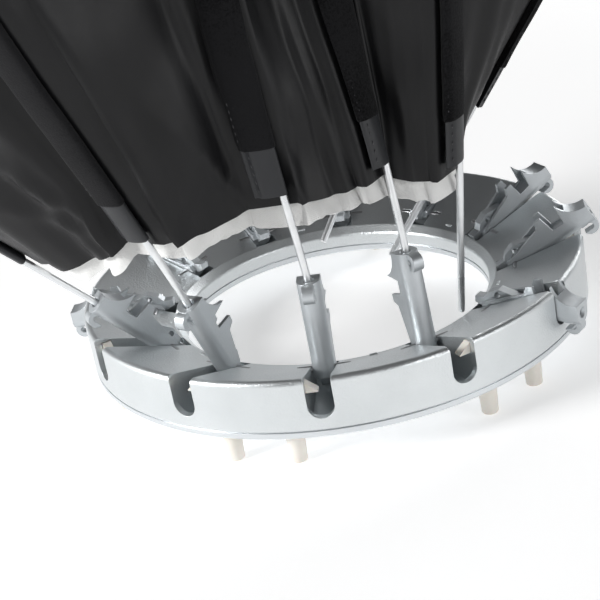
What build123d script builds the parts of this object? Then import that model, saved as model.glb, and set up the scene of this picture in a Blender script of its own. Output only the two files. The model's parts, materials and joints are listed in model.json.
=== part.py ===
from build123d import *
import math
import os

# Octabox with twelve ribs, caught part-way through its setting up.
# Frame: the origin is on the ring's axis at the joint between housing and base plate,
# +Z points along the axis towards the fabric, and socket 1 lies at the first slot angle.

os.makedirs("parts", exist_ok=True)

# ---------------------------------------------------------------- driving dimensions, mm, degrees
RIB_COUNT = 12
PITCH = 360 / RIB_COUNT
FIRST_SLOT = -150.0

RING_RADIUS = 123.0
BORE_RADIUS = 76.1
WALL_TOP = 24.8
LIP_RADIUS = 79.7
LIP_HEIGHT = 9.6
BORE_TOP = 6.0
SKIN = 3.0
PLATE = 4.0
GROOVE = 0.7

SLOT_WIDTH = 11.7
SLOT_INNER = 80.2
SLOT_WALL = 2.5
NOTCH_BOTTOM = 5.3
CORNER = 2.2

PIVOT_RADIUS = 89.5
PIVOT_HEIGHT = 12.0
PIN_RADIUS = 1.5
PIN_LENGTH = 24.0

SOCKET_WIDTH = 10.4
SOCKET_LENGTH = 43.5
CHANNEL_WIDTH = 6.8
CHANNEL_FLOOR = 2.8
WEB_WIDTH = 5.0
BORE_IN_SOCKET = 1.8
BORE_END = 12.0

ROD_RADIUS = 1.65
ROD_LENGTH = 400.0
ROD_START = 13.0

LATCH_RADIUS = 114.0
LATCH_TRAVEL = 4.5
WEDGE_LOW = 16.0
WEDGE_HIGH = 20.8
WEDGE_INNER = 114.8
WEDGE_OUTER = 119.0
PEG_ANGLE = 7.5
PEG_DEPTH = 15.0
PEG_RADIUS = 4.6

TAB_AT = 84.0
TAB_LENGTH = 23.0
TAB_HALF = 7.4
SLEEVE_HALF = 8.5
POCKET_HALF = 11.0
SLEEVE_SHIFT = -4.9
SLEEVE_END = 308.0
POCKET_END = 336.0
ROD_SEAT = 330.0
HEM_DROP = 6.0
LINING_DROP = 15.0
SHELL_GAP = 3.4
LINING_GAP = 9.0
CLOTH = 0.8
BAND = 2.0
SEAM_HALF = 9.5
BAND_SEAM_HALF = 12.0
STRIP_INSET = 0.3

BAR_RADIUS = 83.0
BAR_SIZE = (1.2, 3.6, 0.8)

# How far each loaded socket stands up from its locked place, by slot number from 0.
LOADED = {0: 48.0, 1: 67.0, 2: 88.0, 3: 97.0}
# Empty sockets that are not pressed down.
RAISED = {5: 29.0, 6: 27.0}
# Ribs whose rods hang free: the sleeve mouth as radius, azimuth, height, then the rib's
# azimuth and rise, and how far the rod hangs out of the mouth.
FREE = {
    4: ((86.7, -36.0, 85.8), (-30.0, 82.7), 76.2),
    5: ((81.0, 0.0, 95.0), (0.0, 55.0), 88.0),
    6: ((84.0, 30.0, 106.0), (19.0, 56.0), 74.0),
    7: ((80.0, 60.0, 95.0), (42.0, 50.0), 94.0),
    8: ((82.0, 92.0, 112.0), (82.0, 60.0), 74.0),
    9: ((84.0, 121.0, 115.0), (118.0, 60.0), 74.0),
    10: ((90.0, 150.0, 112.0), (150.0, 57.0), 74.0),
    11: ((104.0, 180.0, 100.0), (179.0, 52.0), 74.0),
}


# ---------------------------------------------------------------- helpers
def slot_angle(number):
    return FIRST_SLOT + PITCH * number


def at_slot(number):
    return Rot(0, 0, slot_angle(number))


def block(low, high):
    size = [b - a for a, b in zip(low, high)]
    middle = [(a + b) / 2 for a, b in zip(low, high)]
    return Pos(*middle) * Box(*size)


def flat_shape(points, width):
    """A plate cut to an outline in the X-Z plane, centred on Y."""
    outline = make_face(Polyline(*[(x, z) for x, z in points], close=True))
    return extrude(Plane.XZ * outline, width / 2, both=True)


def ring_solid(points):
    """A solid of revolution from an outline of radius and height."""
    outline = make_face(Polyline(*points, close=True))
    return revolve(Plane.XZ * outline, Axis.Z)


def cross_pin(radius, length, x, z):
    return Pos(x, 0, z) * Rot(90, 0, 0) * Cylinder(radius, length)


def along_x(radius, start, end, z=0.0):
    return Pos((start + end) / 2, 0, z) * Rot(0, 90, 0) * Cylinder(radius, end - start)


def join(shapes):
    total = shapes[0]
    for shape in shapes[1:]:
        total = total + shape
    return total


def write(name, shapes):
    """One STEP per node: a single solid, or a group of separate solids."""
    solids = []
    for shape in shapes:
        solids.extend(shape.solids())
    thing = solids[0] if len(solids) == 1 else Compound(children=solids)
    export_step(thing, f"parts/{name}.step")


# ---------------------------------------------------------------- speed ring
def cone_height(radius):
    slope = (WALL_TOP - LIP_HEIGHT) / (RING_RADIUS - CORNER - LIP_RADIUS)
    return LIP_HEIGHT + slope * (radius - LIP_RADIUS)


def housing_body():
    """Outer wall, conical top and rounded lip, turned as one outline."""
    outline = make_face(
        Polyline(
            (BORE_RADIUS, 0),
            (RING_RADIUS, 0),
            (RING_RADIUS, WALL_TOP),
            (LIP_RADIUS, LIP_HEIGHT),
            (BORE_RADIUS, BORE_TOP),
            close=True,
        )
    )
    corners = outline.vertices().sort_by(Axis.Y)
    outline = fillet(corners[-1], CORNER)
    corners = outline.vertices().sort_by(Axis.X)
    outline = fillet([v for v in corners if v.Y > 1 and v.X < LIP_RADIUS + 1], 1.6)
    return revolve(Plane.XZ * outline, Axis.Z)


def housing_hollow():
    """The space under the cone, open downwards."""
    inner = BORE_RADIUS + 4
    outer = RING_RADIUS - SKIN
    points = [
        (inner, -1),
        (outer, -1),
        (outer, cone_height(outer) - SKIN),
        (inner + 3, cone_height(inner + 3) - SKIN),
        (inner, cone_height(inner) - SKIN - 1),
    ]
    hollow = ring_solid(points)
    ribs = []
    half = SLOT_WIDTH / 2 + SLOT_WALL
    for number in range(RIB_COUNT):
        ribs.append(at_slot(number) * block((70, -half, -2), (126, half, 40)))
    bosses = [Pos(*place, 10) * Cylinder(4.0, 40) for place in screw_places()]
    for rib in ribs + bosses:
        hollow = hollow - rib
    return hollow


def slot_cutter():
    """Radial slot through the cone that ends in a U-shaped notch with rounded shoulders."""
    half = SLOT_WIDTH / 2
    inner_wall = RING_RADIUS - SKIN
    groove = block((SLOT_INNER, -half, -1), (inner_wall, half, 40))
    notch = block((inner_wall - 1, -half, NOTCH_BOTTOM + half), (130, half, 40))
    round_end = along_x(half, inner_wall - 1, 130, NOTCH_BOTTOM + half)
    shoulder = block((112, -half - CORNER, WALL_TOP - CORNER), (130, half + CORNER, 40))
    for side in (-1, 1):
        y = side * (half + CORNER)
        shoulder = shoulder - Pos(0, y, 0) * along_x(CORNER, 111, 131, WALL_TOP - CORNER)
    return groove + notch + round_end + shoulder


def latch_side(number):
    """+1 when the latch of this slot stands on the counter-clockwise side of it."""
    return 1 if number % 2 else -1


def window_cutter(side):
    """Hole in the slot wall that the latch wedge comes through."""
    half = SLOT_WIDTH / 2
    inner, outer = sorted((side * (half - 1), side * (half + SLOT_WALL + LATCH_TRAVEL + 1)))
    low = (WEDGE_INNER - 0.4, inner, WEDGE_LOW - 0.4)
    high = (WEDGE_OUTER + 0.4, outer, WEDGE_HIGH + 0.5)
    return block(low, high)


def screw_places():
    places = []
    for number in range(0, RIB_COUNT, 2):
        angle = math.radians(slot_angle(number) + PITCH / 2)
        for radius in (85.5, 115.0):
            places.append((radius * math.cos(angle), radius * math.sin(angle)))
    return places


def ring_housing():
    body = housing_body() - housing_hollow()
    cutter = slot_cutter()
    for number in range(RIB_COUNT):
        turn = at_slot(number)
        body = body - turn * cutter
        body = body - turn * window_cutter(latch_side(number))
        body = body - turn * cross_pin(PIN_RADIUS + 0.02, PIN_LENGTH + 0.2, PIVOT_RADIUS, PIVOT_HEIGHT)
    for place in screw_places():
        body = body - Pos(*place, 3) * Cylinder(1.25, 8)
    return body + join(position_bars())


def position_bars():
    """Short raised bars near the bore, at the middle of every second segment."""
    height = cone_height(BAR_RADIUS)
    bar = Pos(BAR_RADIUS, 0, height) * Box(*BAR_SIZE)
    turns = [slot_angle(number) + PITCH / 2 for number in range(0, RIB_COUNT, 2)]
    return [Rot(0, 0, turn) * bar for turn in turns]


def peg_place(side):
    angle = math.radians(PEG_ANGLE)
    return LATCH_RADIUS * math.cos(angle), side * LATCH_RADIUS * math.sin(angle)


def base_plate():
    """Flat cover ring, stepped so that a thin groove shows at the joint."""
    inner, outer = BORE_RADIUS, RING_RADIUS
    body = ring_solid(
        [
            (inner + GROOVE, 0),
            (outer - GROOVE, 0),
            (outer - GROOVE, -GROOVE),
            (outer, -GROOVE),
            (outer, -PLATE + 1),
            (outer - 1, -PLATE),
            (inner + 1, -PLATE),
            (inner, -PLATE + 1),
            (inner, -GROOVE),
            (inner + GROOVE, -GROOVE),
        ]
    )
    for number in range(RIB_COUNT):
        side = latch_side(number)
        x, y = peg_place(side)
        reach = side * (LATCH_TRAVEL + 0.6)
        radius = PEG_RADIUS + 0.4
        path = sorted((y - side * 0.4, y + reach))
        hole = block((x - radius, path[0], -PLATE - 1), (x + radius, path[1], 1))
        hole = hole + Pos(x, path[0], -PLATE / 2) * Cylinder(radius, PLATE + 2)
        hole = hole + Pos(x, path[1], -PLATE / 2) * Cylinder(radius, PLATE + 2)
        body = body - at_slot(number) * hole
    for place in screw_places():
        body = body - Pos(*place, -PLATE / 2) * Cylinder(1.7, PLATE + 2)
    return body


def base_screws():
    """Low button-head screws, one pair at the middle of every second segment."""
    screws = []
    for place in screw_places():
        shank = Pos(0, 0, 0.95) * Cylinder(1.24, 9.9)
        head = Pos(0, 0, -PLATE - 1.0) * Cylinder(3.0, 2.0)
        head = fillet(head.edges().filter_by(GeomType.CIRCLE).sort_by(Axis.Z)[0], 0.9)
        drive = Pos(0, 0, -PLATE - 1.8) * extrude(RegularPolygon(1.15, 6), 1.2, both=True)
        screws.append(Pos(*place, 0) * ((shank + head) - drive))
    return screws


def pivot_pins():
    pin = cross_pin(PIN_RADIUS, PIN_LENGTH, PIVOT_RADIUS, PIVOT_HEIGHT)
    return [at_slot(number) * pin for number in range(RIB_COUNT)]


# ---------------------------------------------------------------- latches
def latch(number):
    """Moulded slider: a wedge through the slot wall and a finger peg under the plate."""
    side = latch_side(number)
    half = SLOT_WIDTH / 2
    start = half + SLOT_WALL + 0.3
    end = start + 11.0
    body = block((109.5, start, 0.4), (117.0, end, 16.8))
    wedge = flat_shape(
        [
            (0.5, WEDGE_LOW),
            (start + 0.5, WEDGE_LOW),
            (start + 0.5, 16.6),
            (half + 1.5, WEDGE_HIGH),
            (half, WEDGE_HIGH),
            (0.5, WEDGE_LOW + 0.5),
        ],
        WEDGE_OUTER - WEDGE_INNER,
    )
    wedge = Pos((WEDGE_INNER + WEDGE_OUTER) / 2, 0, 0) * Rot(0, 0, 90) * wedge
    x, y = peg_place(1)
    peg = Pos(x, y, (0.4 - PLATE - PEG_DEPTH) / 2 + 0.2) * Cone(
        PEG_RADIUS - 0.8, PEG_RADIUS, PLATE + PEG_DEPTH + 0.8
    )
    tip = peg.edges().filter_by(GeomType.CIRCLE).sort_by(Axis.Z)[0]
    peg = fillet(tip, 0.8)
    shape = body + wedge + peg
    if side < 0:
        shape = mirror(shape, Plane.XZ)
    return at_slot(number) * shape


def latch_springs():
    """Hairpin leaf springs, each pushing one pair of latches apart."""
    springs = []
    thick = 0.7
    apex, tip_x, tip_y = 94.0, 113.5, 9.6
    slope = thick * math.hypot(tip_x - apex, tip_y) / tip_y
    for number in range(1, RIB_COUNT, 2):
        outline = make_face(
            Polyline(
                (apex, 0),
                (tip_x, tip_y),
                (tip_x, tip_y - thick),
                (apex + slope, 0),
                (tip_x, thick - tip_y),
                (tip_x, -tip_y),
                close=True,
            )
        )
        strip = Pos(0, 0, 4) * extrude(outline, 6)
        springs.append(Rot(0, 0, slot_angle(number) + PITCH / 2) * strip)
    return springs


# ---------------------------------------------------------------- rod sockets
def socket_side():
    """Side outline of the cheeks: scalloped tip, two teeth with a square notch, then a
    straight run down to the pivot end. X is along the rod, Z is towards the teeth."""
    half = SOCKET_WIDTH / 2
    edge = Polyline(
        (31.4, 13.4),
        (30.5, 3.6),
        (24.2, 3.6),
        (22.6, 12.4),
        (19.2, 12.0),
        (17.7, 8.2),
        (-2.6, 2.6),
        (-4.2, 0.0),
        (-2.6, -half),
        (SOCKET_LENGTH, -half),
        (SOCKET_LENGTH, 4.8),
    )
    scallop = ThreePointArc((SOCKET_LENGTH, 4.8), (36.4, 6.6), (31.4, 13.4))
    return extrude(Plane.XZ * make_face(edge + scallop), half, both=True)


def socket_hook():
    """C-shaped curl under the outer end, half the socket's width."""
    centre = (39.4, -6.3)
    curl = cross_pin(4.1, WEB_WIDTH, *centre)
    curl = curl - cross_pin(1.7, WEB_WIDTH + 2, *centre)
    mouth = block((34, -WEB_WIDTH, centre[1] - 1.6), (centre[0] - 1.0, WEB_WIDTH, -5.0))
    return curl - mouth


def socket_web():
    """Narrow centre web round the pin, with a lightening hole and a stop tail."""
    web = flat_shape(
        [
            (14.0, 0.0),
            (13.5, 5.0),
            (3.6, 7.8),
            (-1.8, 6.0),
            (-4.2, 3.4),
            (-8.6, 3.6),
            (-8.9, 0.6),
            (-4.6, -1.6),
            (-2.0, -3.0),
            (6.0, -3.0),
        ],
        WEB_WIDTH,
    )
    return web - cross_pin(1.5, WEB_WIDTH + 2, 3.0, 4.9)


def socket_shape():
    half = SOCKET_WIDTH / 2
    envelope = along_x(half, -12, 60) + block((-12, -half, 0), (60, half, 20))
    body = socket_side() & envelope
    channel = CHANNEL_WIDTH / 2
    body = body - block((-12, -channel, CHANNEL_FLOOR), (34.0, channel, 20))
    body = body + socket_hook() + socket_web()
    body = body - along_x(BORE_IN_SOCKET, BORE_END, 60)
    mouth = Pos(SOCKET_LENGTH - 0.7, 0, 0) * Rot(0, 90, 0) * Cone(BORE_IN_SOCKET, 2.7, 1.5)
    body = body - mouth
    return body - cross_pin(PIN_RADIUS + 0.05, SOCKET_WIDTH + 2, 0, 0)


def rise(number):
    return LOADED.get(number, RAISED.get(number, 0.0))


def socket_place(number):
    """Socket frame: the origin on its pin and X along its bore."""
    return at_slot(number) * Pos(PIVOT_RADIUS, 0, PIVOT_HEIGHT) * Rot(0, -rise(number), 0)


# ---------------------------------------------------------------- ribs
def rib_frame(number):
    """The rib's frame: the origin at the sleeve mouth, X up the rod, Z inwards."""
    if number in LOADED:
        return socket_place(number) * Pos(TAB_AT, 0, 0)
    (radius, azimuth, height), (heading, climb), _ = FREE[number]
    angle = math.radians(azimuth)
    place = Pos(radius * math.cos(angle), radius * math.sin(angle), height)
    return place * Rot(0, 0, heading) * Rot(0, -climb, 0)


def rod(number):
    hang = TAB_AT - ROD_START if number in LOADED else FREE[number][2]
    shape = along_x(ROD_RADIUS, -hang, ROD_LENGTH - hang)
    ends = shape.edges().filter_by(GeomType.CIRCLE)
    return rib_frame(number) * fillet(ends, 0.7)


def flat_tube(start, end, half_width, half_height):
    """Flat stitched tube beside the rod, which runs near one of its edges."""
    low = (start, SLEEVE_SHIFT - half_width, -half_height)
    return block(low, (end, SLEEVE_SHIFT + half_width, half_height))


def sleeve(number):
    """Flat stitched tunnel round the rod, with the end pocket that holds the rod's tip."""
    tunnel = flat_tube(TAB_LENGTH, SLEEVE_END, SLEEVE_HALF, 2.8)
    tunnel = tunnel - along_x(2.2, 0, SLEEVE_END + 10)
    pocket = flat_tube(SLEEVE_END, POCKET_END, POCKET_HALF, 3.0)
    pocket = pocket - along_x(2.2, SLEEVE_END - 5, ROD_SEAT)
    return [rib_frame(number) * tunnel, rib_frame(number) * pocket]


def tab(number):
    """Smooth reinforced mouth of the sleeve."""
    body = flat_tube(0, TAB_LENGTH, TAB_HALF, 2.6) - along_x(2.0, -5, TAB_LENGTH + 5)
    return rib_frame(number) * body


# ---------------------------------------------------------------- cloth
def rib_point(number, along, across, inward):
    """A point of the cloth, measured across from the middle of the rib's sleeve."""
    place = (rib_frame(number) * Pos(along, across + SLEEVE_SHIFT, inward)).position
    return Vector(place.X, place.Y, place.Z)


def slab(corners_out, corners_in):
    """Closed solid between two quadrilaterals, each split into two triangles."""
    faces = []

    def triangle(a, b, c):
        faces.append(Face(Wire.make_polygon([a, b, c], close=True)))

    def square(a, b, c, d):
        triangle(a, b, c)
        triangle(a, c, d)

    square(*corners_out)
    square(*corners_in)
    for first in range(4):
        second = (first + 1) % 4
        square(corners_out[first], corners_out[second], corners_in[second], corners_in[first])
    return Solid(Shell(faces))


def seam_point(number, side, along, gap, seam, inset=0.0):
    """A point beside a rib. Layers further in are mitred where the cloth turns at the seam."""
    middle = rib_point(number, along, 0, SHELL_GAP)
    here = rib_point(number, along, side * seam, SHELL_GAP)
    there = rib_point((number + side) % RIB_COUNT, along, -side * seam, SHELL_GAP)
    across = (here - middle).normalized()
    inward = (rib_point(number, along, 0, SHELL_GAP + 1) - middle).normalized()
    chord = there - here
    turn = math.atan2(chord.dot(inward), chord.dot(across))
    mitre = (gap - SHELL_GAP) * math.tan(turn / 2)
    return rib_point(number, along, side * (seam - mitre - inset), gap)


def cloth_piece(edges, inset, low, high, gap, thick, seam):
    """Cloth between two seams, each given as a rib and the side of it."""
    first, second = edges
    ends = [(first, low), (second, low), (second, high), (first, high)]
    outside = [seam_point(*edge, along, gap, seam, inset) for edge, along in ends]
    inside = [seam_point(*edge, along, gap + thick, seam, inset) for edge, along in ends]
    return slab(outside, inside)


def gore(number, *sizes):
    """The cloth between this rib's seam and the next rib's."""
    after = (number + 1) % RIB_COUNT
    return cloth_piece([(number, 1), (after, -1)], 0.0, *sizes)


def strip(number, *sizes):
    """The cloth under one rib's sleeve."""
    return cloth_piece([(number, -1), (number, 1)], STRIP_INSET, *sizes)


def write_cloth(name, lengths, *sizes):
    """Cloth that stays still, and cloth that joins the ribs of loaded sockets."""
    moving = []
    still = []
    for low, high in zip(lengths, lengths[1:]):
        moving += [gore(number, low, high, *sizes) for number in (11, 0, 1, 2, 3)]
        moving += [strip(number, low, high, *sizes) for number in LOADED]
        still += [gore(number, low, high, *sizes) for number in range(4, 11)]
        still += [strip(number, low, high, *sizes) for number in FREE]
    write(f"{name}_still", still)
    write(f"{name}_moving", moving)


# ---------------------------------------------------------------- write every node
write("ring_housing", [ring_housing()])
write("base_plate", [base_plate()])
write("base_screws", base_screws())
write("pivot_pins", pivot_pins())
write("latch_springs", latch_springs())

one_socket = socket_shape()
for slot in range(RIB_COUNT):
    write(f"socket_{slot + 1:02d}", [socket_place(slot) * one_socket])
    write(f"latch_{slot + 1:02d}", [latch(slot)])
    write(f"rod_{slot + 1:02d}", [rod(slot)])

for slot in LOADED:
    write(f"sleeve_{slot + 1:02d}", sleeve(slot))
    write(f"tab_{slot + 1:02d}", [tab(slot)])
write("sleeves_free", [shape for slot in FREE for shape in sleeve(slot)])
write("tabs_free", [tab(slot) for slot in FREE])

SHELL_END = SLEEVE_END - 3
LENGTHS = [0.0, 75.0, 150.0, 225.0, SHELL_END]
write_cloth("outer_shell", [-HEM_DROP, *LENGTHS[1:]], SHELL_GAP, CLOTH, SEAM_HALF)
write_cloth("lining", [-LINING_DROP, *LENGTHS[1:]], LINING_GAP, CLOTH, SEAM_HALF)
write_cloth("front_band", [SHELL_END + 0.4, POCKET_END], SHELL_GAP, BAND, BAND_SEAM_HALF)
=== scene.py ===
import json
import math
import random

import bpy
import numpy as np
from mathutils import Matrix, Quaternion, Vector, noise

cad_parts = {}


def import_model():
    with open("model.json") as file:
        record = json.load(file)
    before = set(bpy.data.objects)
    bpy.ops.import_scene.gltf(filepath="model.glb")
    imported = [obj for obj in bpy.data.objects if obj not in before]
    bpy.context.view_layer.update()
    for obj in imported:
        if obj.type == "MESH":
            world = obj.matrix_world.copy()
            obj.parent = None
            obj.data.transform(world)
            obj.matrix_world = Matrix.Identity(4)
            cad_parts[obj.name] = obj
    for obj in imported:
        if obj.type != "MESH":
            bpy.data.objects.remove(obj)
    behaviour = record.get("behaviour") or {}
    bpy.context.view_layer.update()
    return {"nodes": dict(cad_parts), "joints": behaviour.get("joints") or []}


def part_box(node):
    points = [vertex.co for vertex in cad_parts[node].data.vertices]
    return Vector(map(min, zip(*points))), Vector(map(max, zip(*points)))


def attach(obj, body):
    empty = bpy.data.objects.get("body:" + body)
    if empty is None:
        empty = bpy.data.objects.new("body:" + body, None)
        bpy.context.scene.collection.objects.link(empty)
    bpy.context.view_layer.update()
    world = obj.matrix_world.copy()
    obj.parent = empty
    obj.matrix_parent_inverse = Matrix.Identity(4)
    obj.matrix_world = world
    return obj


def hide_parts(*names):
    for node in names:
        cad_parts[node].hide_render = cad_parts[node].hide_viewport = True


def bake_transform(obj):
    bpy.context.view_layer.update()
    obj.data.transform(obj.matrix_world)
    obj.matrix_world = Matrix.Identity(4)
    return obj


# A twelve-rib softbox part-way through its setting up: the speed ring, its sockets and latches
# come from the frame, and the cloth is made here. All sizes are in metres.

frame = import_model()

RIB_COUNT = 12
PITCH = math.tau / RIB_COUNT
FIRST_SLOT = math.radians(-150)
LOADED = (0, 1, 2, 3)  # ribs whose rods stand in sockets, by number from 0
ROD_HANG = {4: 0.0762, 5: 0.088, 6: 0.074, 7: 0.094, 8: 0.074, 9: 0.074, 10: 0.074, 11: 0.074}

MOUTH_ALONG = 0.084  # from a loaded socket's pin to the mouth of its sleeve
TAB_LENGTH = 0.023
SLEEVE_END = 0.308
POCKET_END = 0.336
SHELL_END = 0.305
HEM_DROP = 0.006
SEAM_HALF = 0.0095
SHELL_GAP = 0.0034
LINING_OFFSET = 0.0036
SLEEVE_SHIFT = -0.0049  # the rod runs near one edge of its sleeve
BOW_START = 0.044  # a rod leaves its socket here, measured from the pin
BOW_END = 0.413
# How far each loaded rod leans and bows sideways between its socket and its pocket.
BOWS = {1: (0.0, 0.010), 2: (0.010, 0.002), 3: (0.001, 0.004)}
ROD_RADIUS = 0.00165
# Some sleeves are turned round their rods at the mouth; the turn dies out up the rib.
TURNS = {3: math.radians(36)}
TURN_REACH = 0.13

ROW_STEP = 0.005
GORE_COLUMNS = 14
STRIP_COLUMNS = 2
RIB_COLUMNS = GORE_COLUMNS + STRIP_COLUMNS
FLAP_ROWS = 6
BAND_ROWS = 8

GORE_BULGE = 0.085  # how far a gore falls inwards at its middle, as a share of its width
WAVER = 0.012  # the random part of that
HEM_DEPTH = 1.15  # folds are deeper by this much at the hem than they are far up the rib
FAR_DEPTH = 0.62
SIM_FRAMES = 30
SIM_BLURS = 6  # times the simulated movement is smoothed
SLACK_MOST = 0.010  # the furthest that the simulation may move the cloth

CLOTH_THICK = 0.0005
LINING_THICK = 0.0011
BAND_THICK = 0.0019


# ---------------------------------------------------------------- small helpers
def unit(vector):
    return vector / np.linalg.norm(vector)


def smooth(value):
    value = np.clip(value, 0.0, 1.0)
    return value * value * (3 - 2 * value)


def wave_noise(x, y, seed):
    """Smooth noise from about -1 to 1."""
    return noise.noise(Vector((x, y, seed * 7.31)))


def body_of(rib):
    return f"socket_body_{rib + 1:02d}" if rib in LOADED else "ring"


def ride_on_rib(piece, rib):
    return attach(piece, body_of(rib))


# ---------------------------------------------------------------- where the ribs are
def vertices_of(node):
    mesh = frame["nodes"][node].data
    points = np.zeros(len(mesh.vertices) * 3)
    mesh.vertices.foreach_get("co", points)
    return points.reshape(-1, 3)


def rod_ends(rib):
    """Centres of the lower and the upper end of a rod, from its node."""
    points = vertices_of(f"rod_{rib + 1:02d}")
    middle = points.mean(axis=0)
    axis = np.linalg.svd(points - middle, full_matrices=False)[2][0]
    if axis[2] < 0:
        axis = -axis
    along = (points - middle) @ axis
    centre = middle - axis * along.mean()
    return centre + axis * along.min(), centre + axis * along.max()


def rib_frame(rib):
    """Origin at the sleeve mouth, X up the rod, Y round the ring and Z into the softbox."""
    low, high = rod_ends(rib)
    x = unit(high - low)
    if rib in LOADED:
        angle = FIRST_SLOT + PITCH * rib
        hinge = frame["joints"][rib]["pos_m"]
        origin = np.array(hinge) + MOUTH_ALONG * x
    else:
        angle = math.atan2(x[1], x[0])
        origin = low + ROD_HANG[rib] * x
    y = np.array((-math.sin(angle), math.cos(angle), 0.0))
    y = unit(y - x * (x @ y))
    return origin, x, y, np.cross(x, y)


RIBS = [rib_frame(rib) for rib in range(RIB_COUNT)]


def bow(rib, along):
    """Sideways offset of a sprung rod: a lean in its socket and a smooth bow."""
    lean, swell = BOWS.get(rib, (0.0, 0.0))
    share = (along + MOUTH_ALONG - BOW_START) / (BOW_END - BOW_START)
    wave = math.sin(math.pi * min(max(share, 0.0), 1.0))
    return -lean * wave - swell * wave * wave


def rib_point(rib, along, across, inward):
    """A point beside a rib's rod, in the rib's frame, with the rod's bow."""
    origin, x, y, z = RIBS[rib]
    turn = TURNS.get(rib, 0.0) * (1 - float(smooth(along / TURN_REACH)))
    side = across * math.cos(turn) - inward * math.sin(turn) + bow(rib, along)
    depth = across * math.sin(turn) + inward * math.cos(turn)
    return origin + along * x + side * y + depth * z


def cloth_point(rib, along, across, inward):
    """The same, measured across from the middle of the rib's sleeve."""
    return rib_point(rib, along, across + SLEEVE_SHIFT, inward)


# ---------------------------------------------------------------- meshes
def new_object(name, points, faces, material, smooth_shade=True):
    mesh = bpy.data.meshes.new(name)
    mesh.from_pydata([tuple(p) for p in points], [], faces)
    mesh.update()
    mesh.materials.append(material)
    if smooth_shade:
        mesh.polygons.foreach_set("use_smooth", [True] * len(mesh.polygons))
    thing = bpy.data.objects.new(name, mesh)
    bpy.context.scene.collection.objects.link(thing)
    return thing


def grid_faces(rows, columns):
    faces = []
    for row in range(rows - 1):
        for column in range(columns - 1):
            first = row * columns + column
            faces.append((first, first + 1, first + columns + 1, first + columns))
    return faces


def rim_faces(rows, columns):
    """Faces that join the two sides of a sheet along its four edges."""
    under = rows * columns
    last = (rows - 1) * columns
    faces = []
    for column in range(columns - 1):
        faces.append((column + 1, column, under + column, under + column + 1))
        first = last + column
        faces.append((first, first + 1, under + first + 1, under + first))
    for row in range(rows - 1):
        left = row * columns
        faces.append((left, left + columns, under + left + columns, under + left))
        right = left + columns - 1
        faces.append((right + columns, right, under + right, under + right + columns))
    return faces


def sheet_object(name, grid, inward, thickness, material):
    """A closed sheet from rows and columns of points, with its own lengths as UVs.

    Its normals come from the whole layer, so two panels that meet look like one cloth.
    """
    rows, columns = grid.shape[:2]
    half = inward * thickness / 2
    points = np.concatenate([(grid - half).reshape(-1, 3), (grid + half).reshape(-1, 3)])
    count = rows * columns
    front = grid_faces(rows, columns)
    back = [tuple(count + corner for corner in reversed(face)) for face in front]
    thing = new_object(name, points, front + back + rim_faces(rows, columns), material)
    across = np.zeros((rows, columns))
    across[:, 1:] = np.cumsum(np.linalg.norm(np.diff(grid, axis=1), axis=2), axis=1)
    across -= across[:, columns // 2][:, None]
    along = np.zeros((rows, columns))
    along[1:] = np.cumsum(np.linalg.norm(np.diff(grid, axis=0), axis=2), axis=0)
    flat = np.stack([across, along], axis=-1).reshape(-1, 2)
    mesh = thing.data
    corners = np.zeros(len(mesh.loops), np.int32)
    mesh.loops.foreach_get("vertex_index", corners)
    mesh.uv_layers.new(name="UVMap").data.foreach_set("uv", flat[corners % count].ravel())
    normals = inward.reshape(-1, 3)[corners % count]
    normals[corners < count] *= -1
    for face in mesh.polygons[len(front) * 2:]:
        normals[list(face.loop_indices)] = face.normal
    mesh.normals_split_custom_set(normals.tolist())
    return thing


def add_subdivision(thing, levels=1):
    modifier = thing.modifiers.new("subdivision", "SUBSURF")
    modifier.levels = levels
    modifier.render_levels = levels


# ---------------------------------------------------------------- materials
def new_material(name):
    material = bpy.data.materials.new(name)
    material.use_nodes = True
    nodes = material.node_tree.nodes
    links = material.node_tree.links
    shader = nodes["Principled BSDF"]
    return material, nodes, links, shader


def noise_node(nodes, links, source, scale, detail=4.0, roughness=0.55):
    node = nodes.new("ShaderNodeTexNoise")
    node.inputs["Scale"].default_value = scale
    node.inputs["Detail"].default_value = detail
    node.inputs["Roughness"].default_value = roughness
    links.new(source, node.inputs["Vector"])
    return node


def ramp_node(nodes, links, source, low, high, start=0.3, stop=0.7):
    node = nodes.new("ShaderNodeValToRGB")
    node.color_ramp.elements[0].position = start
    node.color_ramp.elements[0].color = (*low, 1)
    node.color_ramp.elements[1].position = stop
    node.color_ramp.elements[1].color = (*high, 1)
    links.new(source, node.inputs["Fac"])
    return node


def range_node(nodes, links, source, low, high):
    node = nodes.new("ShaderNodeMapRange")
    node.inputs["To Min"].default_value = low
    node.inputs["To Max"].default_value = high
    links.new(source, node.inputs["Value"])
    return node


def bump_node(nodes, links, height, strength, distance, normal=None):
    node = nodes.new("ShaderNodeBump")
    node.inputs["Strength"].default_value = strength
    node.inputs["Distance"].default_value = distance
    links.new(height, node.inputs["Height"])
    if normal is not None:
        links.new(normal, node.inputs["Normal"])
    return node


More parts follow.
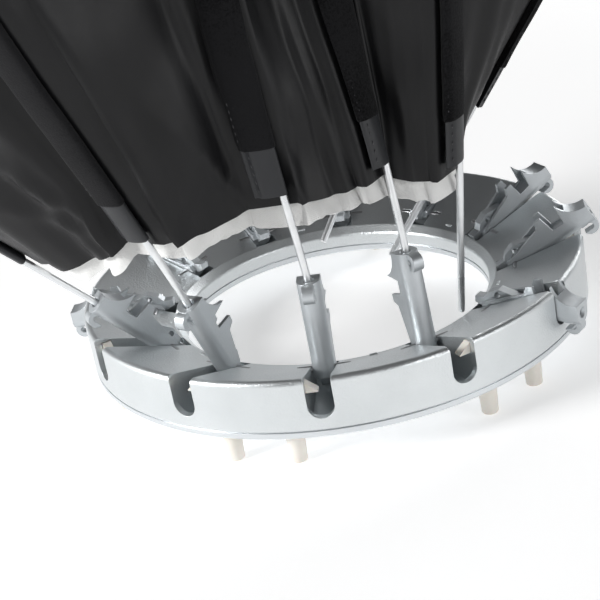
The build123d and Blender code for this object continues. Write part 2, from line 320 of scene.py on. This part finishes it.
def metal(name, dark, light, metallic, rough, grain, depth, edge=0.0004):
    """Cast or blasted metal: grain, patchy tone and softly rounded edges."""
    material, nodes, links, shader = new_material(name)
    place = nodes.new("ShaderNodeTexCoord").outputs["Object"]
    patches = noise_node(nodes, links, place, 22.0, 3.0)
    grains = noise_node(nodes, links, place, grain, 2.0, 0.6)
    tone = ramp_node(nodes, links, patches.outputs["Fac"], dark, light, 0.25, 0.75)
    links.new(tone.outputs["Color"], shader.inputs["Base Color"])
    gloss = range_node(nodes, links, grains.outputs["Fac"], rough - 0.06, rough + 0.08)
    links.new(gloss.outputs["Result"], shader.inputs["Roughness"])
    rounded = nodes.new("ShaderNodeBevel")
    rounded.samples = 4
    rounded.inputs["Radius"].default_value = edge
    surface = bump_node(nodes, links, grains.outputs["Fac"], 0.4, depth, rounded.outputs["Normal"])
    links.new(surface.outputs["Normal"], shader.inputs["Normal"])
    shader.inputs["Metallic"].default_value = metallic
    return material


def plated_metal():
    material, nodes, links, shader = new_material("plated_rod")
    place = nodes.new("ShaderNodeTexCoord").outputs["Object"]
    smears = noise_node(nodes, links, place, 60.0, 3.0)
    tone = ramp_node(nodes, links, smears.outputs["Fac"], (0.72, 0.74, 0.75), (0.92, 0.93, 0.94))
    links.new(tone.outputs["Color"], shader.inputs["Base Color"])
    gloss = range_node(nodes, links, smears.outputs["Fac"], 0.22, 0.36)
    links.new(gloss.outputs["Result"], shader.inputs["Roughness"])
    shader.inputs["Metallic"].default_value = 0.85
    return material


def moulded_nylon():
    material, nodes, links, shader = new_material("cream_nylon_moulding")
    place = nodes.new("ShaderNodeTexCoord").outputs["Object"]
    patches = noise_node(nodes, links, place, 90.0, 3.0)
    grains = noise_node(nodes, links, place, 1400.0, 2.0)
    tone = ramp_node(nodes, links, patches.outputs["Fac"], (0.74, 0.70, 0.63), (0.82, 0.79, 0.73))
    links.new(tone.outputs["Color"], shader.inputs["Base Color"])
    gloss = range_node(nodes, links, patches.outputs["Fac"], 0.36, 0.5)
    links.new(gloss.outputs["Result"], shader.inputs["Roughness"])
    surface = bump_node(nodes, links, grains.outputs["Fac"], 0.25, 0.0001)
    links.new(surface.outputs["Normal"], shader.inputs["Normal"])
    shader.inputs["Subsurface Weight"].default_value = 0.12
    shader.inputs["Subsurface Scale"].default_value = 0.002
    return material


def weave_height(nodes, links, place, pitch):
    """Over-and-under threads of a plain weave, from the cloth's own lengths."""
    split = nodes.new("ShaderNodeSeparateXYZ")
    links.new(place, split.inputs["Vector"])
    waves = []
    for axis in ("X", "Y"):
        scaled = nodes.new("ShaderNodeMath")
        scaled.operation = "MULTIPLY"
        scaled.inputs[1].default_value = math.tau / pitch
        links.new(split.outputs[axis], scaled.inputs[0])
        wave = nodes.new("ShaderNodeMath")
        wave.operation = "SINE"
        links.new(scaled.outputs["Value"], wave.inputs[0])
        waves.append(wave)
    product = nodes.new("ShaderNodeMath")
    product.operation = "MULTIPLY"
    links.new(waves[0].outputs["Value"], product.inputs[0])
    links.new(waves[1].outputs["Value"], product.inputs[1])
    return product.outputs["Value"]


def cloth(name, dark, light, rough, sheen, pitch, weave_depth, fuzz_scale, fuzz_depth, grain=0.1,
          specular=0.25):
    """Woven cloth with tone that varies, a weave or a pile, and some sheen."""
    material, nodes, links, shader = new_material(name)
    coordinates = nodes.new("ShaderNodeTexCoord")
    place = coordinates.outputs["Object"]
    patches = noise_node(nodes, links, place, 14.0, 5.0)
    fuzz = noise_node(nodes, links, place, fuzz_scale, 3.0, 0.7)
    speckle = nodes.new("ShaderNodeMath")
    speckle.operation = "MULTIPLY_ADD"
    speckle.inputs[1].default_value = grain
    links.new(fuzz.outputs["Fac"], speckle.inputs[0])
    links.new(patches.outputs["Fac"], speckle.inputs[2])
    tone = ramp_node(nodes, links, speckle.outputs["Value"], dark, light,
                     0.3 + grain / 2, 0.72 + grain / 2)
    links.new(tone.outputs["Color"], shader.inputs["Base Color"])
    gloss = range_node(nodes, links, fuzz.outputs["Fac"], rough - 0.07, rough + 0.07)
    links.new(gloss.outputs["Result"], shader.inputs["Roughness"])
    surface = bump_node(nodes, links, fuzz.outputs["Fac"], 0.5, fuzz_depth)
    if pitch:
        height = weave_height(nodes, links, coordinates.outputs["UV"], pitch)
        surface = bump_node(nodes, links, height, 0.5, weave_depth, surface.outputs["Normal"])
    links.new(surface.outputs["Normal"], shader.inputs["Normal"])
    shader.inputs["Sheen Weight"].default_value = sheen
    shader.inputs["Sheen Roughness"].default_value = 0.45
    shader.inputs["Specular IOR Level"].default_value = specular
    return material


def paint_shade_inside_lining(material, start, stop):
    """White at the loose edge of the lining and darkened to grey further inside, by its own length:
    painted shade for the shaded inside of the softbox.
    """
    nodes = material.node_tree.nodes
    links = material.node_tree.links
    split = nodes.new("ShaderNodeSeparateXYZ")
    links.new(nodes.new("ShaderNodeTexCoord").outputs["UV"], split.inputs["Vector"])
    tone = nodes.new("ShaderNodeMapRange")
    tone.inputs["From Min"].default_value = start
    tone.inputs["From Max"].default_value = stop
    tone.inputs["To Min"].default_value = 1.0
    tone.inputs["To Max"].default_value = 0.25
    links.new(split.outputs["Y"], tone.inputs["Value"])
    shader = nodes["Principled BSDF"]
    colour = shader.inputs["Base Color"].links[0].from_socket
    darker = nodes.new("ShaderNodeVectorMath")
    darker.operation = "SCALE"
    links.new(colour, darker.inputs[0])
    links.new(tone.outputs["Result"], darker.inputs["Scale"])
    links.new(darker.outputs["Vector"], shader.inputs["Base Color"])


CAST = metal("blasted_casting", (0.66, 0.69, 0.70), (0.76, 0.79, 0.80), 0.90, 0.39, 1000.0, 0.0005)
PLATE = metal("satin_plate", (0.66, 0.69, 0.71), (0.76, 0.79, 0.81), 0.85, 0.34, 1200.0, 0.00006)
SOCKET = metal("blasted_socket", (0.50, 0.53, 0.55), (0.62, 0.65, 0.67), 0.75, 0.46, 700.0, 0.0002)
STEEL = metal("plain_steel_pins", (0.42, 0.42, 0.43), (0.55, 0.55, 0.56), 1.0, 0.30, 500.0, 0.00005)
ROD = plated_metal()
NYLON = moulded_nylon()
SHELL = cloth("black_shell_nylon", (0.005, 0.005, 0.0055), (0.009, 0.009, 0.010),
              0.36, 0.0, 0.0006, 0.00003, 260.0, 0.00005, 0.1, 0.26)
PILE = cloth("velvet_sleeve_pile", (0.002, 0.002, 0.0022), (0.012, 0.012, 0.013),
             0.92, 0.06, 0.0, 0.0, 1100.0, 0.0006, 0.9, 0.08)
COATED = cloth("coated_tab_webbing", (0.020, 0.021, 0.023), (0.030, 0.031, 0.034),
               0.40, 0.0, 0.0012, 0.00005, 500.0, 0.0001, 0.1, 0.3)
THREAD = cloth("stitch_thread", (0.03, 0.03, 0.033), (0.05, 0.05, 0.055),
               0.6, 0.2, 0.0, 0.0, 2500.0, 0.0001)
WHITE = cloth("white_lining_backing", (0.78, 0.78, 0.76), (0.86, 0.86, 0.85),
              0.85, 0.25, 0.0011, 0.0001, 420.0, 0.0004)
# Painted shade: the lining's colour turns grey further inside the softbox.
paint_shade_inside_lining(WHITE, 0.014, 0.03)
BINDING = cloth("woven_front_binding", (0.010, 0.010, 0.012), (0.024, 0.024, 0.027),
                0.7, 0.0, 0.0016, 0.0001, 500.0, 0.00008, 0.1, 0.08)

NODE_FINISH = {
    "ring_housing": CAST,
    "base_plate": PLATE,
    "base_screws": STEEL,
    "pivot_pins": STEEL,
    "latch_springs": STEEL,
    "socket_": SOCKET,
    "latch_": NYLON,
    "rod_": ROD,
}


def finish_of(node):
    """The finish of a carried-over node, by its whole name first and then by how it starts."""
    if node in NODE_FINISH:
        return NODE_FINISH[node]
    starts = [key for key in NODE_FINISH if node.startswith(key)]
    return NODE_FINISH[starts[0]] if starts else None


for node_name, node_object in frame["nodes"].items():
    finish = finish_of(node_name)
    if finish:
        node_object.data.materials.clear()
        node_object.data.materials.append(finish)


# ---------------------------------------------------------------- shape of the shell
ROWS = round((SHELL_END + HEM_DROP) / ROW_STEP) + 1
ALONG = np.linspace(-HEM_DROP, SHELL_END, ROWS)
COLUMNS = RIB_COUNT * RIB_COLUMNS
chance = random.Random(12)


# Folds of the gores after the loaded ribs. Each is: its share of the gore's width at the hem and
# where it ends, its depth and spread as shares of the width, and how far up the gore it reaches.
FOLDS = {
    0: [
        (0.10, 0.25, 0.060, 0.08, 1.0), (0.94, 0.86, 0.080, 0.045, 1.0),
        (0.88, 0.70, -0.050, 0.06, 1.0),
        (0.96, 0.30, -0.075, 0.05, 0.34), (0.96, 0.10, -0.060, 0.045, 0.2),
        (0.55, 0.45, 0.030, 0.07, 1.0),
    ],
    1: [
        (0.06, 0.10, 0.110, 0.045, 1.0), (0.14, 0.26, -0.060, 0.055, 1.0),
        (0.94, 0.42, 0.090, 0.075, 1.0), (0.97, 0.66, -0.045, 0.055, 1.0),
        (0.04, 0.38, -0.090, 0.045, 0.24), (0.03, 0.62, -0.075, 0.045, 0.13),
        (0.98, 0.40, -0.100, 0.045, 0.2), (0.30, 0.30, 0.030, 0.06, 0.5),
    ],
    2: [
        (0.08, 0.16, -0.050, 0.055, 1.0), (0.96, 0.62, 0.120, 0.09, 1.0),
        (0.60, 0.40, 0.035, 0.06, 1.0), (0.03, 0.22, -0.085, 0.04, 0.26),
        (0.03, 0.45, -0.070, 0.04, 0.2), (0.72, 0.30, -0.030, 0.05, 1.0),
    ],
    3: [
        (0.05, 0.30, -0.085, 0.05, 1.0), (0.14, 0.50, 0.055, 0.06, 1.0), (0.95, 0.86, 0.070, 0.06, 1.0),
        (0.50, 0.70, -0.040, 0.06, 1.0),
    ],
}


def fold_set(rib):
    """Folds of one gore: chosen ones beside the loaded ribs and seeded ones elsewhere."""
    if rib in FOLDS:
        return FOLDS[rib]
    folds = []
    for side in (0, 1):
        start = 0.05 if side == 0 else 0.95
        reach = chance.uniform(0.12, 0.42)
        end = start + (reach if side == 0 else -reach)
        folds.append((start, end, chance.uniform(0.035, 0.07), chance.uniform(0.05, 0.09), 1.0))
        end = start + (0.4 if side == 0 else -0.4)
        folds.append((start, end, chance.uniform(-0.05, -0.03), 0.05, chance.uniform(0.15, 0.3)))
    start = chance.uniform(0.3, 0.7)
    end = chance.uniform(0.3, 0.7)
    folds.append((start, end, chance.uniform(-0.04, -0.02), 0.08, 1.0))
    return folds


def gore_point(rib, folds, share, row):
    """A point of slack cloth between one rib's seam and the next rib's."""
    after = (rib + 1) % RIB_COUNT
    along = ALONG[row]
    first = cloth_point(rib, along, SEAM_HALF, SHELL_GAP)
    last = cloth_point(after, along, -SEAM_HALF, SHELL_GAP)
    inward = unit(RIBS[rib][3] * (1 - share) + RIBS[after][3] * share)
    width = np.linalg.norm(last - first)
    rise = row / (ROWS - 1)
    arch = 4 * share * (1 - share)
    depth = GORE_BULGE * width * arch ** 0.8
    for start, end, amount, spread, reach in folds:
        centre = start + (end - start) * min(rise / reach, 1.0)
        if reach < 1:
            fade = 1 - float(smooth(rise / reach))
        else:
            fade = FAR_DEPTH + HEM_DEPTH * math.exp(-rise * 5)
        profile = math.exp(-(((share - centre) / spread) ** 2)) * arch ** 0.3
        depth += fade * amount * width * profile
    depth += WAVER * width * arch * wave_noise(share * 3 + rib, along * 14, 3)
    return first + (last - first) * share + inward * depth


def shell_grid():
    """Rows by columns of points, all the way round, before any sagging."""
    grid = np.zeros((ROWS, COLUMNS, 3))
    for rib in range(RIB_COUNT):
        folds = fold_set(rib)
        base = rib * RIB_COLUMNS
        for row in range(ROWS):
            for column in range(STRIP_COLUMNS + 1):
                across = SEAM_HALF * (2 * column / STRIP_COLUMNS - 1)
                grid[row, base + column] = cloth_point(rib, ALONG[row], across, SHELL_GAP)
            for column in range(1, GORE_COLUMNS):
                share = column / GORE_COLUMNS
                grid[row, base + STRIP_COLUMNS + column] = gore_point(rib, folds, share, row)
    return grid


def sag(grid):
    """Lets the cloth between the seams hang with some slack, as a simulation."""
    rows, columns = grid.shape[:2]
    faces = []
    for row in range(rows - 1):
        for column in range(columns):
            after = (column + 1) % columns
            first = row * columns
            above = first + columns
            faces.append((first + column, first + after, above + after, above + column))
    thing = new_object("slack_cloth", grid.reshape(-1, 3), faces, SHELL)
    pins = thing.vertex_groups.new(name="pins")
    held = []
    for row in range(rows):
        for column in range(columns):
            if column % RIB_COLUMNS <= STRIP_COLUMNS:
                held.append(row * columns + column)
    pins.add(held, 1.0, "REPLACE")
    modifier = thing.modifiers.new("cloth", "CLOTH")
    settings = modifier.settings
    settings.quality = 6
    settings.mass = 0.12
    settings.tension_stiffness = 12
    settings.compression_stiffness = 12
    settings.shear_stiffness = 4
    settings.bending_stiffness = 1.2
    settings.tension_damping = 8
    settings.compression_damping = 8
    settings.shear_damping = 8
    settings.bending_damping = 1
    settings.air_damping = 2
    settings.vertex_group_mass = "pins"
    settings.shrink_min = -0.03
    modifier.collision_settings.use_collision = False
    modifier.collision_settings.use_self_collision = False
    scene = bpy.context.scene
    modifier.point_cache.frame_start = 1
    modifier.point_cache.frame_end = 40
    for step in range(1, SIM_FRAMES + 1):
        scene.frame_set(step)
    graph = bpy.context.evaluated_depsgraph_get()
    result = thing.evaluated_get(graph)
    points = np.zeros(rows * columns * 3)
    result.data.vertices.foreach_get("co", points)
    mesh = thing.data
    bpy.data.objects.remove(thing)
    bpy.data.meshes.remove(mesh)
    scene.frame_set(1)
    moved = blurred(points.reshape(grid.shape) - grid, SIM_BLURS)
    moved[:, [column for column in range(columns) if column % RIB_COLUMNS <= STRIP_COLUMNS]] = 0
    size = np.linalg.norm(moved, axis=2, keepdims=True)
    return grid + moved * np.minimum(1.0, SLACK_MOST / np.maximum(size, 1e-9))


def blurred(values, times):
    """Neighbour average of a grid that closes round its columns."""
    for _ in range(times):
        values = (np.roll(values, 1, axis=1) + np.roll(values, -1, axis=1) + 2 * values) / 4
        inner = (values[:-2] + values[2:] + 2 * values[1:-1]) / 4
        values = np.concatenate([values[:1], inner, values[-1:]])
    return values


def refined(grid):
    """Twice the rows and columns, with smooth curves through the same points."""
    before, after = np.roll(grid, 1, axis=1), np.roll(grid, -1, axis=1)
    beyond = np.roll(grid, -2, axis=1)
    rows, columns = grid.shape[:2]
    wide = np.zeros((rows, 2 * columns, 3))
    wide[:, 0::2] = grid
    wide[:, 1::2] = (9 * (grid + after) - before - beyond) / 16
    longer = np.concatenate([2 * wide[:1] - wide[1:2], wide, 2 * wide[-1:] - wide[-2:-1]])
    result = np.zeros((2 * rows - 1, 2 * columns, 3))
    result[0::2] = wide
    result[1::2] = (9 * (longer[1:-2] + longer[2:-1]) - longer[:-3] - longer[3:]) / 16
    return result


def inward_normals(grid, blurs):
    """Directions across the cloth, towards the inside, smoothed over their neighbours."""
    across = np.roll(grid, -1, axis=1) - np.roll(grid, 1, axis=1)
    along = np.gradient(grid, axis=0)
    normals = np.cross(along, across)
    normals /= np.maximum(np.linalg.norm(normals, axis=2, keepdims=True), 1e-12)
    normals = blurred(normals, blurs)
    return normals / np.linalg.norm(normals, axis=2, keepdims=True)


shell = shell_grid()
shell = sag(shell)


def steady_inward(grid):
    """Inward directions that stay sound where a narrow gore folds back on itself."""
    from_ribs = np.zeros((COLUMNS, 3))
    for rib in range(RIB_COUNT):
        after = (rib + 1) % RIB_COUNT
        base = rib * RIB_COLUMNS
        from_ribs[base:base + STRIP_COLUMNS + 1] = RIBS[rib][3]
        for column in range(1, GORE_COLUMNS):
            share = column / GORE_COLUMNS
            direction = RIBS[rib][3] * (1 - share) + RIBS[after][3] * share
            from_ribs[base + STRIP_COLUMNS + column] = unit(direction)
    mixed = inward_normals(grid, 9) + 2 * from_ribs[None]
    return mixed / np.linalg.norm(mixed, axis=2, keepdims=True)


INWARD = steady_inward(shell)


def lining_grid(shell):
    """The white backing inside the shell, with a soft flap that hangs out below the hem."""
    inner = shell + INWARD * LINING_OFFSET
    down = shell[0] - shell[2]
    down /= np.linalg.norm(down, axis=1, keepdims=True)
    flap = []
    for row in range(FLAP_ROWS, 0, -1):
        share = row / FLAP_ROWS
        line = np.zeros((COLUMNS, 3))
        for column in range(COLUMNS):
            turn = math.tau * column / COLUMNS
            ragged = wave_noise(math.cos(turn) * 9, math.sin(turn) * 9, 5)
            ripple = wave_noise(math.cos(turn) * 22, math.sin(turn) * 22 + share, 8)
            length = 0.0088 + 0.0030 * ragged
            out = 0.0026 * share + 0.0022 * share * ripple
            line[column] = inner[0, column] + down[column] * length * share - INWARD[0, column] * out
        flap.append(line)
    return np.concatenate([np.array(flap), inner])


def band_grid(shell):
    """The doubled band along the front opening."""
    ahead = blurred(shell, 2)
    ahead = ahead[-1] - ahead[-3]
    ahead /= np.linalg.norm(ahead, axis=1, keepdims=True)
    lines = []
    for row in range(BAND_ROWS + 1):
        step = 0.0006 + (POCKET_END - SHELL_END - 0.0006) * row / BAND_ROWS
        puff = 0.0007 * math.sin(math.pi * row / BAND_ROWS)
        lines.append(shell[-1] + ahead * step - INWARD[-1] * puff + INWARD[-1] * 0.0004)
    return np.array(lines)


FINE = 2  # columns of a panel for each column of the grid that the layer was made from


def columns_of(rib):
    """Columns from the middle of the gore before a rib to the middle of the gore after it."""
    half = GORE_COLUMNS // 2
    start = FINE * (rib * RIB_COLUMNS - half)
    return [column % (FINE * COLUMNS) for column in range(start, start + FINE * RIB_COLUMNS + 1)]


def still_columns():
    """All columns that join no loaded rib: one open run from mid-gore to mid-gore."""
    half = GORE_COLUMNS // 2
    start = FINE * ((LOADED[-1] + 1) * RIB_COLUMNS - half)
    stop = FINE * (RIB_COUNT * RIB_COLUMNS - half)
    return list(range(start, stop + 1))


def bend_with_rib(piece):
    """Bakes a panel's placement into its mesh.
    """
    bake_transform(piece)


def cloth_panel(name, grid, inward, material, thickness, rib=None):
    """One sheet of the shell, lining or band. Without a rib it rides on the ring; with one its placement
    is baked into its mesh.
    """
    piece = sheet_object(name, grid, inward, thickness, material)
    if rib is None:
        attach(piece, "ring")
    else:
        bend_with_rib(piece)
    return piece


def cloth_layer(kind, coarse, material, thickness, nodes):
    """All the panels of one layer: one for each loaded rib and one for the rest."""
    grid = refined(coarse)
    inward = inward_normals(grid, 1)
    for rib in LOADED:
        columns = columns_of(rib)
        piece = cloth_panel(f"{kind}_{rib + 1:02d}", grid[:, columns], inward[:, columns],
                            material, thickness, rib)
        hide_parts(nodes + "_moving")
    columns = still_columns()
    piece = cloth_panel(f"{kind}_still", grid[:, columns], inward[:, columns], material, thickness)
    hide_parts(nodes + "_still")


cloth_layer("shell_panel", shell, SHELL, CLOTH_THICK, "outer_shell")
cloth_layer("lining_panel", lining_grid(shell), WHITE, LINING_THICK, "lining")
cloth_layer("band_panel", band_grid(shell), BINDING, BAND_THICK, "front_band")


# ---------------------------------------------------------------- sleeves and tabs
def flat_tube_ring(half_width, half_height, flange, count):
    """Section of a flat sewn tube: a round middle and a thin edge on the -Y side."""
    points = []
    for step in range(count):
        angle = math.tau * step / count
        across = half_width * math.cos(angle)
        height = half_height * math.copysign(abs(math.sin(angle)) ** 0.72, math.sin(angle))
        edge = smooth((-across - (half_width - flange)) / 0.0012)
        points.append((across, height * (1 - 0.72 * float(edge))))
    return points


def skin(name, points, rings, count, material):
    """A closed skin through rings of points, with a cap at each end."""
    faces = []
    for ring in range(rings - 1):
        for step in range(count):
            after = (step + 1) % count
            first = ring * count
            faces.append((first + step, first + after, first + count + after, first + count + step))
    faces.append(tuple(reversed(range(count))))
    faces.append(tuple(range((rings - 1) * count, rings * count)))
    return new_object(name, points, faces, material)


def loft(name, rib, stations, material, count=28):
    """A flat tube through sections: (along, half width, half height, flange, shift)."""
    points = []
    for along, half_width, half_height, flange, shift in stations:
        for across, height in flat_tube_ring(half_width, half_height, flange, count):
            points.append(rib_point(rib, along, across + shift, height))
    return skin(name, points, len(stations), count, material)


def mouth_stations(along, half_width, half_height, flange, shift, depth):
    """A folded edge and the hollow behind it, from the inside to the outside."""
    return [
        (along + depth, half_width * 0.55, half_height * 0.55, flange * 0.5, shift * 0.7),
        (along + depth * 0.5, half_width * 0.78, half_height * 0.66, flange * 0.6, shift),
        (along + 0.0002, half_width * 0.93, half_height * 0.78, flange * 0.8, shift),
        (along - 0.0001, half_width * 0.98, half_height * 0.93, flange, shift),
        (along + 0.0004, half_width, half_height, flange, shift),
    ]


def tab_piece(rib):
    shift = SLEEVE_SHIFT
    stations = mouth_stations(0.0, 0.0071, 0.0026, 0.0034, shift, 0.004)
    for step in range(1, 9):
        along = TAB_LENGTH * step / 8
        swell = 1 + 0.05 * wave_noise(along * 160, rib * 3.7, 2)
        stations.append((along, 0.0071 + 0.0002 * step / 8, 0.0026 * swell, 0.0034, shift))
    stations.append((TAB_LENGTH + 0.003, 0.0066, 0.0018, 0.0034, shift))
    piece = loft(f"tab_cloth_{rib + 1:02d}", rib, stations, COATED)
    add_subdivision(piece)
    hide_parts(f"tab_{rib + 1:02d}" if rib in LOADED else "tabs_free")
    return ride_on_rib(piece, rib)


def sleeve_piece(rib):
    shift = SLEEVE_SHIFT
    start = TAB_LENGTH - 0.0015
    stations = mouth_stations(start, 0.0078, 0.0031, 0.002, shift, 0.003)
    steps = 56
    for step in range(1, steps + 1):
        along = start + (SLEEVE_END - start) * step / steps
        swell = 1 + 0.14 * wave_noise(along * 55, rib * 5.1, 4)
        width = 0.0079 + 0.00132 * float(smooth(along / 0.12))
        width += 0.0004 * wave_noise(along * 70, rib * 2.3, 9)
        sway = 0.0007 * wave_noise(along * 30, rib * 1.9, 6)
        stations.append((along, width, 0.0029 * swell, 0.0022, shift + sway))
    for along, width, height in (
        (SLEEVE_END + 0.0008, 0.0108, 0.0032),
        (SLEEVE_END + 0.004, 0.0112, 0.0033),
        (SLEEVE_END + 0.014, 0.0112, 0.0034),
        (POCKET_END - 0.004, 0.0110, 0.0030),
        (POCKET_END - 0.001, 0.0104, 0.0022),
        (POCKET_END, 0.0092, 0.0010),
    ):
        stations.append((along, width, height, 0.0022, shift * 0.5))
    piece = loft(f"sleeve_cloth_{rib + 1:02d}", rib, stations, PILE)
    add_subdivision(piece)
    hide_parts(f"sleeve_{rib + 1:02d}" if rib in LOADED else "sleeves_free")
    return ride_on_rib(piece, rib)


def bowed_rod(rib):
    """A sprung rod that stands in its socket, round and rounded at both ends."""
    low, high = rod_ends(rib)
    length = float(np.linalg.norm(high - low))
    start = float((low - RIBS[rib][0]) @ RIBS[rib][1])
    sides = 20
    steps = 60
    cap = 0.0007
    places = [(start, 0.55), (start + cap, 1.0)]
    places += [(start + cap + (length - 2 * cap) * step / steps, 1.0) for step in range(1, steps + 1)]
    places.append((start + length, 0.55))
    points = []
    for along, share in places:
        for side in range(sides):
            turn = math.tau * side / sides
            radius = ROD_RADIUS * share
            points.append(rib_point(rib, along, radius * math.cos(turn), radius * math.sin(turn)))
    piece = skin(f"sprung_rod_{rib + 1:02d}", points, len(places), sides, ROD)
    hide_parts(f"rod_{rib + 1:02d}")
    return ride_on_rib(piece, rib)


for number in range(RIB_COUNT):
    tab_piece(number)
    sleeve_piece(number)
for number in BOWS:
    bowed_rod(number)


# ---------------------------------------------------------------- stitching
def stitch_points(rib, along, across, height, length, thick):
    """One small spindle of thread lying along the rib."""
    middle = rib_point(rib, along, across, height)
    _, x, y, z = RIBS[rib]
    points = [middle - x * length / 2, middle + x * length / 2]
    for side in range(4):
        turn = math.tau * side / 4
        points.append(middle + (y * math.cos(turn) + z * math.sin(turn)) * thick)
    faces = []
    for side in range(4):
        after = 2 + (side + 1) % 4
        faces.append((0, after, 2 + side))
        faces.append((1, 2 + side, after))
    return points, faces


def stitching(rib):
    """Rows of stitches down the sewn edges of a tab and its sleeve."""
    points, faces = [], []
    shift = SLEEVE_SHIFT
    lines = [
        (0.002, TAB_LENGTH - 0.002, shift - 0.0041, -0.0016),
        (TAB_LENGTH + 0.002, SLEEVE_END - 0.002, shift - 0.0066, -0.0012),
    ]
    for start, stop, across, height in lines:
        count = int((stop - start) / 0.0032)
        for step in range(count):
            along = start + (stop - start) * (step + 0.5) / count
            more, sides = stitch_points(rib, along, across, height, 0.0023, 0.00035)
            base = len(points)
            points.extend(more)
            faces.extend(tuple(base + corner for corner in side) for side in sides)
    piece = new_object(f"stitches_{rib + 1:02d}", points, faces, THREAD)
    return ride_on_rib(piece, rib)


for number in range(RIB_COUNT):
    stitching(number)


# ---------------------------------------------------------------- floor, light and camera
def area_light(name, place, target, size, power, colour=(1, 1, 1)):
    data = bpy.data.lights.new(name, "AREA")
    data.shape = "DISK"
    data.size = size
    data.energy = power
    data.color = colour
    light = bpy.data.objects.new(name, data)
    light.location = place
    light.rotation_mode = "QUATERNION"
    light.rotation_quaternion = (Vector(target) - Vector(place)).to_track_quat("-Z", "Y")
    bpy.context.scene.collection.objects.link(light)


def floor():
    low = min(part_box(f"latch_{number + 1:02d}")[0].z for number in range(RIB_COUNT))
    half = 12.0
    corners = [(-half, -half, low), (half, -half, low), (half, half, low), (-half, half, low)]
    material, nodes, links, shader = new_material("pale_floor")
    place = nodes.new("ShaderNodeTexCoord").outputs["Object"]
    patches = noise_node(nodes, links, place, 1.5, 3.0)
    tone = ramp_node(nodes, links, patches.outputs["Fac"], (0.90, 0.90, 0.90), (0.93, 0.93, 0.93))
    links.new(tone.outputs["Color"], shader.inputs["Base Color"])
    shader.inputs["Roughness"].default_value = 0.9
    shader.inputs["Emission Color"].default_value = (1, 1, 1, 1)
    shader.inputs["Emission Strength"].default_value = 0.42
    new_object("studio_floor", corners, [(0, 1, 2, 3)], material, False)


def world():
    """A pale studio that is bright at the horizon and dark overhead."""
    scene_world = bpy.data.worlds.new("studio_world")
    scene_world.use_nodes = True
    nodes = scene_world.node_tree.nodes
    links = scene_world.node_tree.links
    direction = nodes.new("ShaderNodeTexCoord").outputs["Generated"]
    split = nodes.new("ShaderNodeSeparateXYZ")
    links.new(direction, split.inputs["Vector"])
    sky = ramp_node(nodes, links, split.outputs["Z"], (0.97, 0.98, 1.0), (0.02, 0.02, 0.022), 0.05, 0.55)
    background = nodes["Background"]
    links.new(sky.outputs["Color"], background.inputs["Color"])
    background.inputs["Strength"].default_value = 0.8
    bpy.context.scene.world = scene_world


CAMERA_PLACE = (0.078, -0.668, 0.307)
CAMERA_TARGET = (-0.018, 0.0, 0.0055)
CAMERA_ROLL = math.radians(-10.7)
CAMERA_LENS = 89.0


def camera():
    data = bpy.data.cameras.new("photo_camera")
    data.lens = CAMERA_LENS
    data.sensor_width = 36.0
    data.clip_start = 0.01
    data.clip_end = 50.0
    thing = bpy.data.objects.new("photo_camera", data)
    thing.location = CAMERA_PLACE
    thing.rotation_mode = "QUATERNION"
    aim = (Vector(CAMERA_TARGET) - Vector(CAMERA_PLACE)).to_track_quat("-Z", "Y")
    thing.rotation_quaternion = aim @ Quaternion((0, 0, 1), CAMERA_ROLL)
    bpy.context.scene.collection.objects.link(thing)
    bpy.context.scene.camera = thing


floor()
world()
camera()
area_light("key_softbox", (-1.5, -0.7, 0.8), (0, 0, 0.12), 0.7, 30)
area_light("fill_softbox", (1.3, -0.8, 0.5), (0, 0, 0.1), 0.8, 5)
area_light("back_softbox", (0.6, 1.3, 0.5), (0, 0, 0.02), 0.8, 6)
bpy.context.scene.view_settings.view_transform = "Standard"
